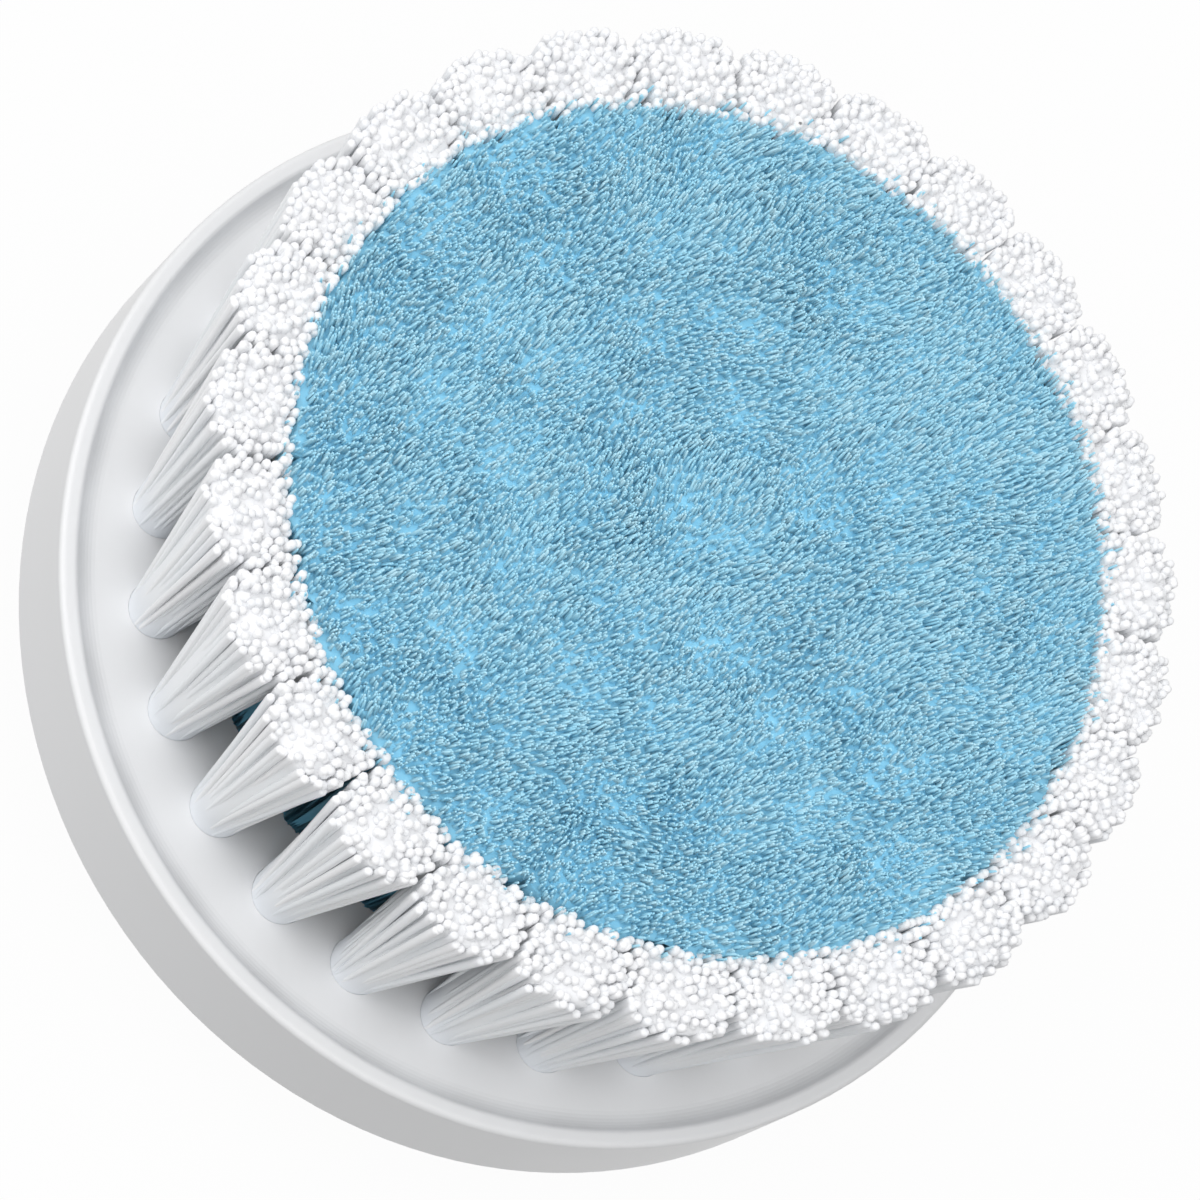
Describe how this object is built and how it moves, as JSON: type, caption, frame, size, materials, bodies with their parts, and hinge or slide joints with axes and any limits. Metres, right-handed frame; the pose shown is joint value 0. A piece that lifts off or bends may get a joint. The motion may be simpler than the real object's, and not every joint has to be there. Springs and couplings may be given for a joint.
{
  "type": "facial cleansing brush head",
  "caption": "Round brush head for a facial cleansing appliance: white plate, ring of coarse white tufts round a dense field of soft blue ones, split drive sleeve below.",
  "frame": {"origin": "middle of the drive socket's mouth, which is the lowest face", "axes": "+Z along the socket's axis, from the mouth towards the bristle tips"},
  "size_m": [0.04, 0.04, 0.0219],
  "materials": {
    "plate": "white satin moulding",
    "white_filament": "milky white nylon filament",
    "blue_filament": "soft light blue filament",
    "anchor_metal": "plain flat wire",
    "hub": "pale grey moulding",
    "spring_steel": "bright drawn wire"
  },
  "bodies": {
    "root": {"brush_plate": "plate", "white_tuft_01": "white_filament", "white_tuft_02": "white_filament", "white_tuft_03": "white_filament", "white_tuft_04": "white_filament", "white_tuft_05": "white_filament", "white_tuft_06": "white_filament", "white_tuft_07": "white_filament", "white_tuft_08": "white_filament", "white_tuft_09": "white_filament", "white_tuft_10": "white_filament", "white_tuft_11": "white_filament", "white_tuft_12": "white_filament", "white_tuft_13": "white_filament", "white_tuft_14": "white_filament", "white_tuft_15": "white_filament", "white_tuft_16": "white_filament", "white_tuft_17": "white_filament", "white_tuft_18": "white_filament", "white_tuft_19": "white_filament", "white_tuft_20": "white_filament", "white_tuft_21": "white_filament", "white_tuft_22": "white_filament", "white_tuft_23": "white_filament", "white_tuft_24": "white_filament", "white_tuft_25": "white_filament", "white_tuft_26": "white_filament", "white_tuft_27": "white_filament", "blue_tuft_01": "blue_filament", "blue_tuft_02": "blue_filament", "blue_tuft_03": "blue_filament", "blue_tuft_04": "blue_filament", "blue_tuft_05": "blue_filament", "blue_tuft_06": "blue_filament", "blue_tuft_07": "blue_filament", "blue_tuft_08": "blue_filament", "blue_tuft_09": "blue_filament", "blue_tuft_10": "blue_filament", "blue_tuft_11": "blue_filament", "blue_tuft_12": "blue_filament", "blue_tuft_13": "blue_filament", "blue_tuft_14": "blue_filament", "blue_tuft_15": "blue_filament", "blue_tuft_16": "blue_filament", "blue_tuft_17": "blue_filament", "blue_tuft_18": "blue_filament", "blue_tuft_19": "blue_filament", "blue_tuft_20": "blue_filament", "blue_tuft_21": "blue_filament", "blue_tuft_22": "blue_filament", "blue_tuft_ring_2": "blue_filament", "blue_tuft_ring_3": "blue_filament", "blue_tuft_ring_4": "blue_filament", "blue_tuft_centre": "blue_filament", "tuft_anchors": "anchor_metal", "drive_hub": "hub", "hub_spring_ring": "spring_steel"}
  },
  "joints": []
}
